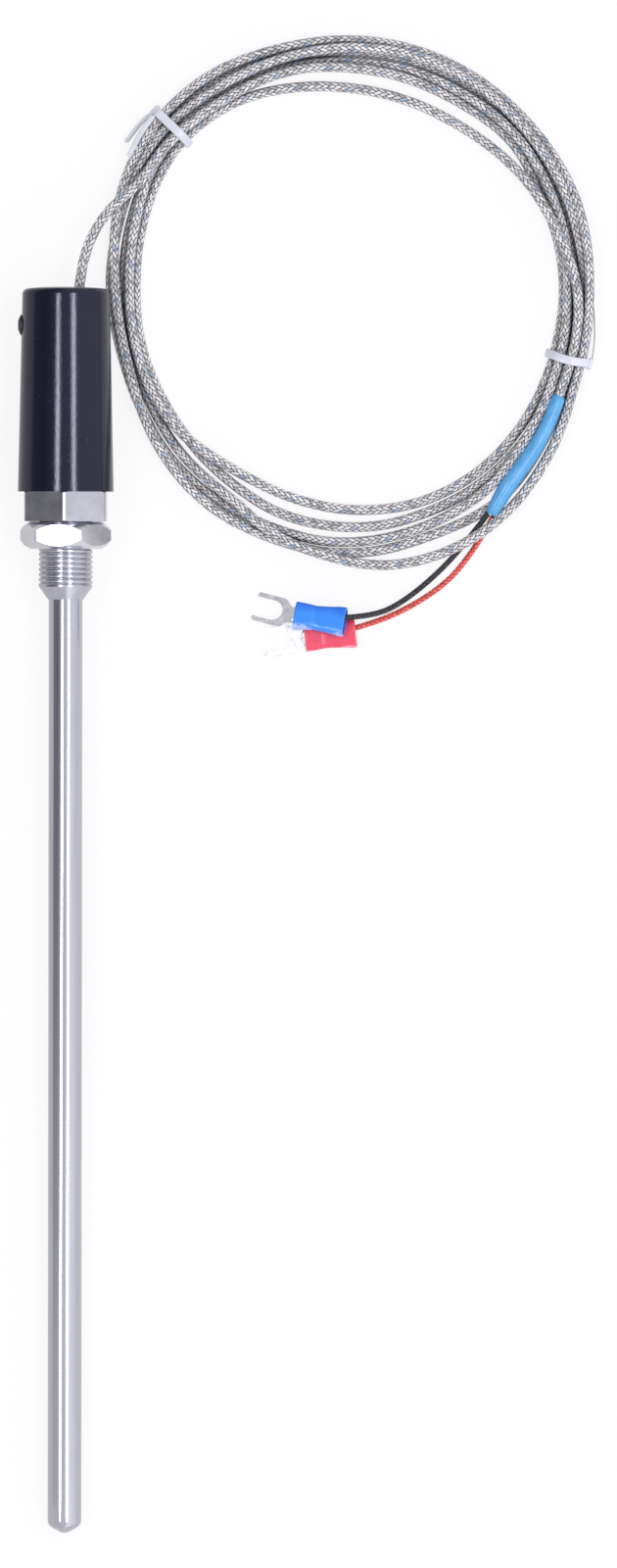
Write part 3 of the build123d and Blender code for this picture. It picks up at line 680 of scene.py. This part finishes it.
def soft_ring(middle, ways, sizes, powers, count):
    """Ring of points round a middle: an ellipse by its two ways and sizes, squarer for powers under 1."""
    ring = []
    for j in range(count):
        angle = 2 * pi * j / count
        wide = sizes[0] / 2 * signed_power(cos(angle), powers[0])
        high = sizes[1] / 2 * signed_power(sin(angle), powers[1])
        ring.append(middle + ways[0] * wide + ways[1] * high)
    return ring


def finish_mesh(name, bm, sharp):
    """Object of a finished mesh, with an edge at each angle over sharp degrees."""
    bmesh.ops.recalc_face_normals(bm, faces=bm.faces)
    mesh = bpy.data.meshes.new(name)
    bm.to_mesh(mesh)
    bm.free()
    mesh.set_sharp_from_angle(angle=radians(sharp))
    obj = bpy.data.objects.new(name, mesh)
    bpy.context.collection.objects.link(obj)
    return obj


# Crimped sleeves of the fork terminals, drawn as part.py draws them: middle at the origin, fork towards +X.
# Each entry: place along X, and width or height there
SLEEVE_HALF = 7.6
SLEEVE_WIDTHS = ((-7.6, 8.8), (-6.0, 8.7), (-3.5, 8.1), (-1.0, 7.6), (1.3, 7.35), (3.2, 7.5), (5.4, 8.0),
                 (7.6, 8.2))
SLEEVE_HEIGHTS = ((-7.6, 4.2), (-4.5, 4.15), (-2.2, 3.95), (-0.5, 3.7), (1.6, 3.6), (2.0, 3.9), (2.6, 4.1),
                  (7.6, 4.2))
SLEEVE_CORNER = 1.8
SLEEVE_RIM = 0.35
SLEEVE_RIM_INSET = 0.22
SLEEVE_RIPPLE = 0.09
BORE_WIDTH, BORE_HEIGHT = 5.35, 2.72
BORE_CORNER = 1.2
MOUTH_DEPTH = 4.0
MOUTH_WIDER, MOUTH_HIGHER = 2.0, 0.65
# Width of the UVs across a sleeve, and the UV in its bore, which gives the bore the dark colour as painted
# shade
UV_WIDTH = 8.9
UV_SHADED_BORE = 0.06


def rounded_ring(x, width, height, corner, count):
    """Ring in the plane at x: a rectangle with round corners, as a superellipse that keeps its flats."""
    least, by_corner = 1.6, 2.6
    power = 2.0 / (2.0 + by_corner * (1.0 - min(1.0, 2 * corner / height)) + least)
    angles = [2 * pi * j / count for j in range(count)]
    return [(x, width / 2 * signed_power(cos(t), power), height / 2 * signed_power(sin(t), power))
            for t in angles]


def crimped_sleeve(name, terminal, slot, node, seed):
    count, ripples, slices, bore_slices = 56, 12, 61, 20
    chance = np.random.default_rng(seed)
    places = np.linspace(-SLEEVE_HALF, SLEEVE_HALF, slices)
    ripple = np.interp(places, np.linspace(-SLEEVE_HALF, SLEEVE_HALF, ripples),
                       chance.uniform(-SLEEVE_RIPPLE, SLEEVE_RIPPLE, ripples))
    widths = np.interp(places, *zip(*SLEEVE_WIDTHS)) + ripple
    heights = np.interp(places, *zip(*SLEEVE_HEIGHTS))
    rim = np.minimum(1.0, np.minimum(places + SLEEVE_HALF, SLEEVE_HALF - places) / SLEEVE_RIM)
    rings, uvs = [], []
    for x, width, height, near in zip(places, widths, heights, rim):
        inset = SLEEVE_RIM_INSET * (1 - near) ** 2
        rings.append(rounded_ring(x, width - inset, height - inset, SLEEVE_CORNER, count))
        along = (x + SLEEVE_HALF) / (2 * SLEEVE_HALF)
        uvs.append([(along, 0.5 + point[1] / UV_WIDTH) for point in rings[-1]])
    for x in np.linspace(SLEEVE_HALF, -SLEEVE_HALF, bore_slices):
        mouth = max(0.0, min(1.0, (-SLEEVE_HALF + MOUTH_DEPTH - x) / MOUTH_DEPTH))
        rings.append(rounded_ring(x, BORE_WIDTH + MOUTH_WIDER * mouth, BORE_HEIGHT + MOUTH_HIGHER * mouth,
                                  BORE_CORNER, count))
        uvs.append([((x + SLEEVE_HALF) / (2 * SLEEVE_HALF), UV_SHADED_BORE)] * count)
    bm = bmesh.new()
    add_loft(bm, rings, uvs, closed=True)
    sleeve = finish_mesh(name, bm, sharp=50)
    sleeve.data.transform(Matrix.Translation(terminal.translation * MM) @ terminal.to_3x3().to_4x4())
    paint(sleeve, slot)
    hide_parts(node)
    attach(sleeve, "probe")
    return sleeve


sleeves = {
    "black": crimped_sleeve("crimped_sleeve_blue", BLUE, "sleeve_blue", "terminal_sleeve_blue", 11),
    "red": crimped_sleeve("crimped_sleeve_red", RED, "sleeve_red", "terminal_sleeve_red", 12),
}


# Ties: a nylon band pulled round the strands, its head, and thin tails
BAND_THICKNESS = 0.8
BAND_WIDTH = 2.6
BAND_CLEARANCE = 0.04
BAND_OFF_FLOOR = 0.03
BAND_EASE = 1.07
HEAD_HEIGHT = 3.0
HEAD_OUT = 0.5
HEAD_SIZE = (1.5, 3.6, 3.4)
TAIL_STEP = 0.6


def strands_at(angle):
    """Distance from the coil's centre and height of each strand where the cable crosses a ray from it."""
    line = cable_path / MM - np.array([*COIL_CENTRE.xy, 0.0])
    ray = np.array([cos(radians(angle)), sin(radians(angle))])
    side = line[:, 0] * -ray[1] + line[:, 1] * ray[0]
    ahead = line[:, 0] * ray[0] + line[:, 1] * ray[1]
    hits = np.nonzero((side[:-1] * side[1:] < 0) & (ahead[:-1] > 0))[0]
    return [(ahead[i], line[i, 2]) for i in hits]


def hull(points):
    """Outline round points of a plane, counter-clockwise."""
    points = sorted(set(points))

    def half(order):
        out = []
        for q in order:
            while len(out) > 1 and ((out[-1][0] - out[-2][0]) * (q[1] - out[-2][1])
                                    - (out[-1][1] - out[-2][1]) * (q[0] - out[-2][0])) <= 0:
                out.pop()
            out.append(q)
        return out[:-1]

    return half(points) + half(points[::-1])


def band_loop(angle):
    """A band's middle line round the strands at an angle: rows of distance from the centre and height."""
    around, count, passes = 40, 96, 3
    reach = CABLE_RADIUS + BAND_THICKNESS / 2 + BAND_CLEARANCE
    lowest = BAND_THICKNESS / 2 + BAND_OFF_FLOOR
    spots = [(round(distance + reach * cos(t), 4), round(max(lowest, height + reach * sin(t)), 4))
             for distance, height in strands_at(angle)
             for t in np.linspace(0, 2 * pi, around, endpoint=False)]
    outline = np.array(hull(spots))
    outline = np.vstack([outline, outline[:1]])
    marks = lengths_along(outline)
    wanted = np.linspace(0.0, marks[-1], count + 1)[:-1]
    loop = np.stack([np.interp(wanted, marks, outline[:, i]) for i in (0, 1)], axis=1)
    for _ in range(passes):
        loop = (np.roll(loop, 1, axis=0) + 2 * loop + np.roll(loop, -1, axis=0)) / 4
    middle = (loop[:, 0].min() + loop[:, 0].max()) / 2
    loop[:, 0] = middle + (loop[:, 0] - middle) * BAND_EASE
    return loop


def add_block(bm, centre, x_way, y_way, size):
    """Block with soft edges, as rings stacked along y_way and drawn in at both ends."""
    count, slices, smallest, squareness = 16, 15, 0.35, 6
    rings = []
    for t in np.linspace(-1.0, 1.0, slices):
        drawn_in = max((1 - abs(t) ** squareness) ** (1 / squareness) if abs(t) < 1 else 0.0, smallest)
        middle = centre + y_way * (t * size[1] / 2)
        here = (size[0] * drawn_in, size[2] * drawn_in)
        rings.append(soft_ring(middle, (x_way, UP), here, (0.5, 0.5), count))
    add_loft(bm, rings, capped=True)


def strip(name, line, width, thick, lean):
    """Thin flat tail along a line, round at its end. lean turns its face from straight up, in degrees."""
    count, narrowest = 12, 0.3
    rings = []
    for i, (place, way) in enumerate(zip(line, np.gradient(line, axis=0))):
        way = Vector(way).normalized()
        side = way.cross(UP).normalized()
        up = side.cross(way)
        flat = side * cos(radians(lean)) + up * sin(radians(lean))
        face = up * cos(radians(lean)) - side * sin(radians(lean))
        left = (len(line) - 1 - i) * TAIL_STEP
        rounding = 1.0
        if left <= width / 2:
            rounding = max(narrowest, sqrt(max(0.0, 1 - (1 - left / (width / 2)) ** 2)))
        here = (width * rounding, thick)
        rings.append(soft_ring(Vector(place) / MM, (flat, face), here, (0.5, 1.0), count))
    bm = bmesh.new()
    add_loft(bm, rings, capped=True)
    tail = finish_mesh(name, bm, sharp=60)
    tail.data.materials.append(TAIL_NYLON)
    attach(tail, "probe")
    return tail


def tie(name, angle, bow, tails, node):
    """Tie at an angle of the coil. bow bends its band along the cable, and each tail has a route by the coil,
    a width, a thickness and a lean."""
    count = 20
    loop = band_loop(angle)
    radial = Vector((cos(radians(angle)), sin(radians(angle)), 0))
    onward = Vector((radial.y, -radial.x, 0))
    low, high = loop[:, 0].min(), loop[:, 0].max()
    way = np.roll(loop, -1, axis=0) - np.roll(loop, 1, axis=0)
    way /= np.linalg.norm(way, axis=1)[:, None]
    rings = []
    for (r, z), (dr, dz) in zip(loop, way):
        shift = bow * sin(pi * (r - low) / (high - low))
        centre = by_coil(0, 0, z) + radial * r + onward * shift
        ways = (onward, radial * dz - UP * dr)
        rings.append(soft_ring(centre, ways, (BAND_WIDTH, BAND_THICKNESS), (0.55, 0.75), count))
    bm = bmesh.new()
    add_loft(bm, rings, closed=True)
    add_block(bm, by_coil(0, 0, HEAD_HEIGHT) + radial * (high + HEAD_OUT), radial, onward, HEAD_SIZE)
    band = finish_mesh(name, bm, sharp=60)
    paint(band, "white_tie")
    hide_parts(node)
    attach(band, "probe")
    strips = []
    for index, (points, width, thick, lean) in enumerate(tails):
        line, _ = even(spline(f"{name}_strip_{index}", [by_coil(*q) for q in points]), TAIL_STEP * MM)
        strips.append(strip(f"{name}_tail_{index}", line, width, thick, lean))
    return band, strips


# Each tail: its route by the coil, width, thickness and lean
UPPER_TAILS = (
    (((-58.4, 55.4, 4.6), (-60.6, 54.1, 4.3), (-63.6, 50.9, 3.6), (-66.8, 46.6, 2.6)), 1.5, 0.35, 25),
    (((-58.6, 54.0, 6.9), (-60.6, 51.4, 6.6), (-63.4, 47.2, 6.3), (-65.8, 42.0, 6.1)), 1.6, 0.4, 0),
)
RIGHT_TAILS = (
    (((71.9, -18.6, 3.4), (72.6, -14.0, 3.2), (72.9, -8.0, 2.9), (72.3, -0.4, 2.4)), 2.2, 0.4, 86),
)
upper_tie, upper_strips = tie("tie_band_upper", 136.0, 0.0, UPPER_TAILS, "tie_upper")
right_tie, right_strips = tie("tie_band_right", 345.2, 0.85, RIGHT_TAILS, "tie_right")


# Points round the stem and the fitting
TURNED_POINTS = 96

# Stem in one piece with its closed end, whose shoulder is rounder than the CAD's. Each entry of the profiles:
# station and radius
STEM_RADIUS = 5.0
# Stations at which the straight part's rings start and end, and their number
STEM_STRAIGHT = (-30.0, -290.0, 27)
SHOULDER_START = -296.24
SHOULDER_RADIUS = 2.5
SHOULDER_TURN = 60.7
STEM_IN_FITTING = [(-10.3, 1.0), (-10.2, 4.4), (-10.4, 4.6), (-23.0, 4.6), (-23.1, STEM_RADIUS)]
STEM_TIP = [(-299.55, 1.70), (-299.78, 1.25), (-299.93, 0.80), (-299.99, 0.40), (-300.0, 0.05)]


def stem():
    profile = STEM_IN_FITTING + [(station, STEM_RADIUS) for station in np.linspace(*STEM_STRAIGHT)]
    for turn in np.radians(np.linspace(0.0, SHOULDER_TURN, 10)):
        profile.append((SHOULDER_START - SHOULDER_RADIUS * sin(turn),
                        STEM_RADIUS - SHOULDER_RADIUS * (1 - cos(turn))))
    bm = bmesh.new()
    rings = [axis_ring(station, radius, TURNED_POINTS) for station, radius in profile + STEM_TIP]
    add_loft(bm, rings, capped=True)
    rod = finish_mesh("closed_stem", bm, sharp=40)
    paint(rod, "stainless_brushed")
    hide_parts("sheath_tube", "tip_plug")
    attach(rod, "probe")


stem()


# Screwed fitting: the hexagon and collar are the CAD's, cut at the hexagon's underside; the shank carries a
# cut thread, which the CAD leaves plain
HEXAGON_CUT = -0.03
SHANK_RADIUS = 8.0
SHANK_STEP = 0.125
THREAD_END = -19.3
THREAD_PITCH = 1.5
THREAD_DEPTH = 0.55
THREAD_SHARPNESS = 3.0
UNDERCUT_DEPTH = 0.55
# Where the thread starts, over what length it runs in and out, and the middle and reach of the undercut
THREAD_START, RUN_IN, RUN_OUT = -0.5, 0.8, 1.2
UNDERCUT_AT, UNDERCUT_REACH = -0.4, 0.7
BORE_RADIUS, TUBE_SEAT_RADIUS, TUBE_SEAT_FLOOR = 4.12, 4.66, -10.1
# Cone below the thread: distance from the thread's end, and radius
CONE = ((0.15, 7.8), (1.4, 6.93), (2.6, 6.1), (3.75, 5.29), (3.8, 5.2), (3.8, TUBE_SEAT_RADIUS))


def thread_ring(station, count):
    """Ring of the shank's surface: the thread's grooves run in below the hexagon and run out at the end."""
    run_in = min(1.0, max(0.0, (THREAD_START - station) / RUN_IN))
    run_out = min(1.0, max(0.0, (station - THREAD_END) / RUN_OUT))
    depth = THREAD_DEPTH * run_in * run_out ** 0.5
    undercut = UNDERCUT_DEPTH * max(0.0, 1.0 - abs(station - UNDERCUT_AT) / UNDERCUT_REACH)
    ring = []
    for j in range(count):
        angle = 2 * pi * j / count
        phase = (station / THREAD_PITCH - angle / (2 * pi)) % 1.0
        groove = 0.5 - 0.5 * cos(2 * pi * phase)
        radius = SHANK_RADIUS - undercut - depth * groove ** THREAD_SHARPNESS
        ring.append(on_axis(radius * cos(angle), station, radius * sin(angle)))
    return ring


def threaded_fitting():
    bm = bmesh.new()
    bm.from_mesh(frame["nodes"]["threaded_fitting"].data)
    bmesh.ops.remove_doubles(bm, verts=bm.verts, dist=1e-6)
    cut_at, way = on_axis(0, HEXAGON_CUT) * MM, (on_axis(0, 1) - on_axis(0, 0)).normalized()
    cut = bmesh.ops.bisect_plane(bm, geom=bm.verts[:] + bm.edges[:] + bm.faces[:], dist=1e-7, plane_co=cut_at,
                                 plane_no=way, clear_inner=True)
    rim = [g for g in cut["geom_cut"] if isinstance(g, bmesh.types.BMEdge)]
    bmesh.ops.triangle_fill(bm, use_beauty=True, use_dissolve=False, edges=rim, normal=-way)
    for face in bm.faces:
        face.smooth = True
    count = TURNED_POINTS
    rings = [thread_ring(station, count) for station in np.arange(HEXAGON_CUT, THREAD_END, -SHANK_STEP)]
    rings.append(thread_ring(THREAD_END, count))
    rings += [axis_ring(THREAD_END - below, radius, count) for below, radius in CONE]
    rings += [axis_ring(station, radius, count) for station, radius in (
        (TUBE_SEAT_FLOOR, TUBE_SEAT_RADIUS), (TUBE_SEAT_FLOOR, BORE_RADIUS), (HEXAGON_CUT, BORE_RADIUS))]
    add_loft(bm, rings, closed=True)
    fitting = finish_mesh("screwed_fitting", bm, sharp=20)
    fitting.modifiers.new("flat_faces", "WEIGHTED_NORMAL").keep_sharp = True
    paint(fitting, "stainless_turned")
    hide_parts("threaded_fitting")
    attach(fitting, "probe")


threaded_fitting()


# Floor, light and camera. From here on all sizes are metres

FLOOR_HALF = 6
FLOOR_GLOW = 0.86
# How bright the floor is in reflections, to the left and to the right of the probe's axis
FLOOR_LEFT, FLOOR_RIGHT = 0.66, 0.86
FLOOR_CHANGE = 0.02


def flat_floor():
    """White floor that mostly glows where seen, takes the object's shadow, and is darker in reflections."""
    corners = [(x * FLOOR_HALF, y * FLOOR_HALF, 0) for x, y in ((-1, -1), (1, -1), (1, 1), (-1, 1))]
    mesh = bpy.data.meshes.new("floor")
    mesh.from_pydata(corners, [], [(0, 1, 2, 3)])
    floor = bpy.data.objects.new("floor", mesh)
    bpy.context.collection.objects.link(floor)
    m = Nodes("floor_white")
    m.set(Base_Color=(0.86, 0.86, 0.87), Roughness=0.9)
    glow = m.add("ShaderNodeEmission")
    glow.inputs["Color"].default_value = (0.995, 0.99, 1.0, 1.0)
    path = m.add("ShaderNodeLightPath")
    level = m.map_range(m.parts_of(m.place(1))[0], From_Min=-FLOOR_CHANGE, From_Max=FLOOR_CHANGE,
                        To_Min=FLOOR_LEFT, To_Max=FLOOR_RIGHT)
    lost = m.math("MULTIPLY", path.outputs["Is Glossy Ray"], m.math("SUBTRACT", 1.0, level))
    m.join(m.math("SUBTRACT", 1.0, lost), glow.inputs["Strength"])
    seen = m.math("MAXIMUM", path.outputs["Is Camera Ray"], path.outputs["Is Transmission Ray"])
    seen = m.math("MAXIMUM", seen, path.outputs["Is Glossy Ray"])
    mixed = m.add("ShaderNodeMixShader")
    m.join(m.math("MULTIPLY", seen, FLOOR_GLOW), mixed.inputs[0])
    m.join(m.shader.outputs[0], mixed.inputs[1])
    m.join(glow.outputs[0], mixed.inputs[2])
    m.join(mixed.outputs[0], m.out.inputs["Surface"])
    mesh.materials.append(m.owner)


# Light of the surroundings by the angle from straight up, in degrees and towards -X first. The left side is
# dark where it is seen in the handle and the fitting, and lightens towards the stem's tip
SKY_HANDLE = ((-90, 0.28), (-64, 0.21), (-50, 0.20), (-38, 0.36), (-25, 0.52), (-5, 0.75), (10, 0.82),
              (30, 1.02), (62, 1.0), (90, 0.85))
SKY_TIP = ((-90, 0.80), (-64, 0.74), (-50, 0.74), (-38, 0.75), (-25, 0.76), (-5, 0.82), (10, 0.88),
           (26, 1.35), (50, 1.25), (90, 0.95))
# How far back along Y a direction points where the first gives way to the second, from start to end
SKY_CHANGE = (-0.05, -0.14)
SKY_TINT = (0.98, 0.98, 1.03)
BACKDROP = (1.0, 0.995, 1.0)

# Lamp panels, on each side one for the stem, a faint one for the nut and thread, and a bright one for the
# handle. Each row: name, place, turn in degrees, start and end along its long side, width, and power in watts
# per square metre
PANELS = (
    ("left_stem_panel", (-0.517, -0.09, 1.25), 36.0, (-0.41, 0.155), 0.25, 16.5),
    ("right_stem_panel", (0.494, -0.09, 1.25), 22.8, (-0.41, 0.155), 0.27, 16.5),
    ("left_nut_panel", (-0.517, -0.09, 1.25), 36.0, (0.155, 0.23), 0.25, 4.5),
    ("right_nut_panel", (0.494, -0.09, 1.25), 22.8, (0.155, 0.23), 0.27, 4.5),
    ("left_handle_panel", (-0.599, -0.09, 1.25), 36.0, (0.235, 0.42), 0.16, 66.0),
    ("right_handle_panel", (0.345, -0.09, 1.25), 22.8, (0.235, 0.42), 0.175, 58.0),
)


def panel(name, place, turn, part, width, level):
    """Lamp facing down to the origin, its long side along Y and then turned clockwise, seen from above.

    part is where it starts and ends along that side, counted from place."""
    lamp = bpy.data.lights.new(name, "AREA")
    lamp.shape = "RECTANGLE"
    lamp.size, lamp.size_y = part[1] - part[0], width
    lamp.energy = level * lamp.size * lamp.size_y
    obj = bpy.data.objects.new(name, lamp)
    back = Vector(place).normalized()
    long = Vector((sin(radians(turn)), cos(radians(turn)), 0.0))
    long = (long - back * long.dot(back)).normalized()
    middle = Vector(place) + long * (part[0] + part[1]) / 2
    turned = Matrix((long, back.cross(long), back)).transposed().to_4x4()
    obj.matrix_world = Matrix.Translation(middle) @ turned
    bpy.context.collection.objects.link(obj)


def studio():
    """Sky that the object's surfaces see, a white backdrop for the camera, and the lamps."""
    world = Nodes("studio", "worlds")
    across, along, high = world.parts_of(world.add("ShaderNodeTexCoord").outputs["Generated"])
    place = world.math("MULTIPLY_ADD", world.math("ARCTAN2", across, high), 1 / pi, 0.5)
    skies = []
    for levels in (SKY_HANDLE, SKY_TIP):
        stops = [(over / 180 + 0.5, tuple(level * tint for tint in SKY_TINT)) for over, level in levels]
        skies.append(world.ramp(place, *stops))
    tipwards = world.map_range(along, From_Min=SKY_CHANGE[0], From_Max=SKY_CHANGE[1])
    path = world.add("ShaderNodeLightPath")
    seen = world.math("MAXIMUM", path.outputs["Is Camera Ray"], path.outputs["Is Transmission Ray"])
    colour = world.mix(seen, world.mix(tipwards, *skies), BACKDROP)
    world.join(colour, world.tree.nodes["Background"].inputs["Color"])
    bpy.context.scene.world = world.owner
    for row in PANELS:
        panel(*row)


CAMERA_DISTANCE = 2.5
CAMERA_AIM = (0.0720, 0.03785, 0.010)
CAMERA_TURN = 0.125
VIEW_HEIGHT = 0.46444
SENSOR = 36.0


def camera():
    """Straight above the middle of the photograph's frame."""
    data = bpy.data.cameras.new("camera")
    data.sensor_fit = "VERTICAL"
    data.sensor_height = SENSOR
    data.lens = SENSOR * CAMERA_DISTANCE / VIEW_HEIGHT
    obj = bpy.data.objects.new("camera", data)
    x, y, level = CAMERA_AIM
    obj.location = (x, y, CAMERA_DISTANCE + level)
    obj.rotation_euler = (0.0, 0.0, radians(CAMERA_TURN))
    bpy.context.collection.objects.link(obj)
    bpy.context.scene.camera = obj


flat_floor()
studio()
camera()
bpy.context.scene.view_settings.view_transform = "Standard"
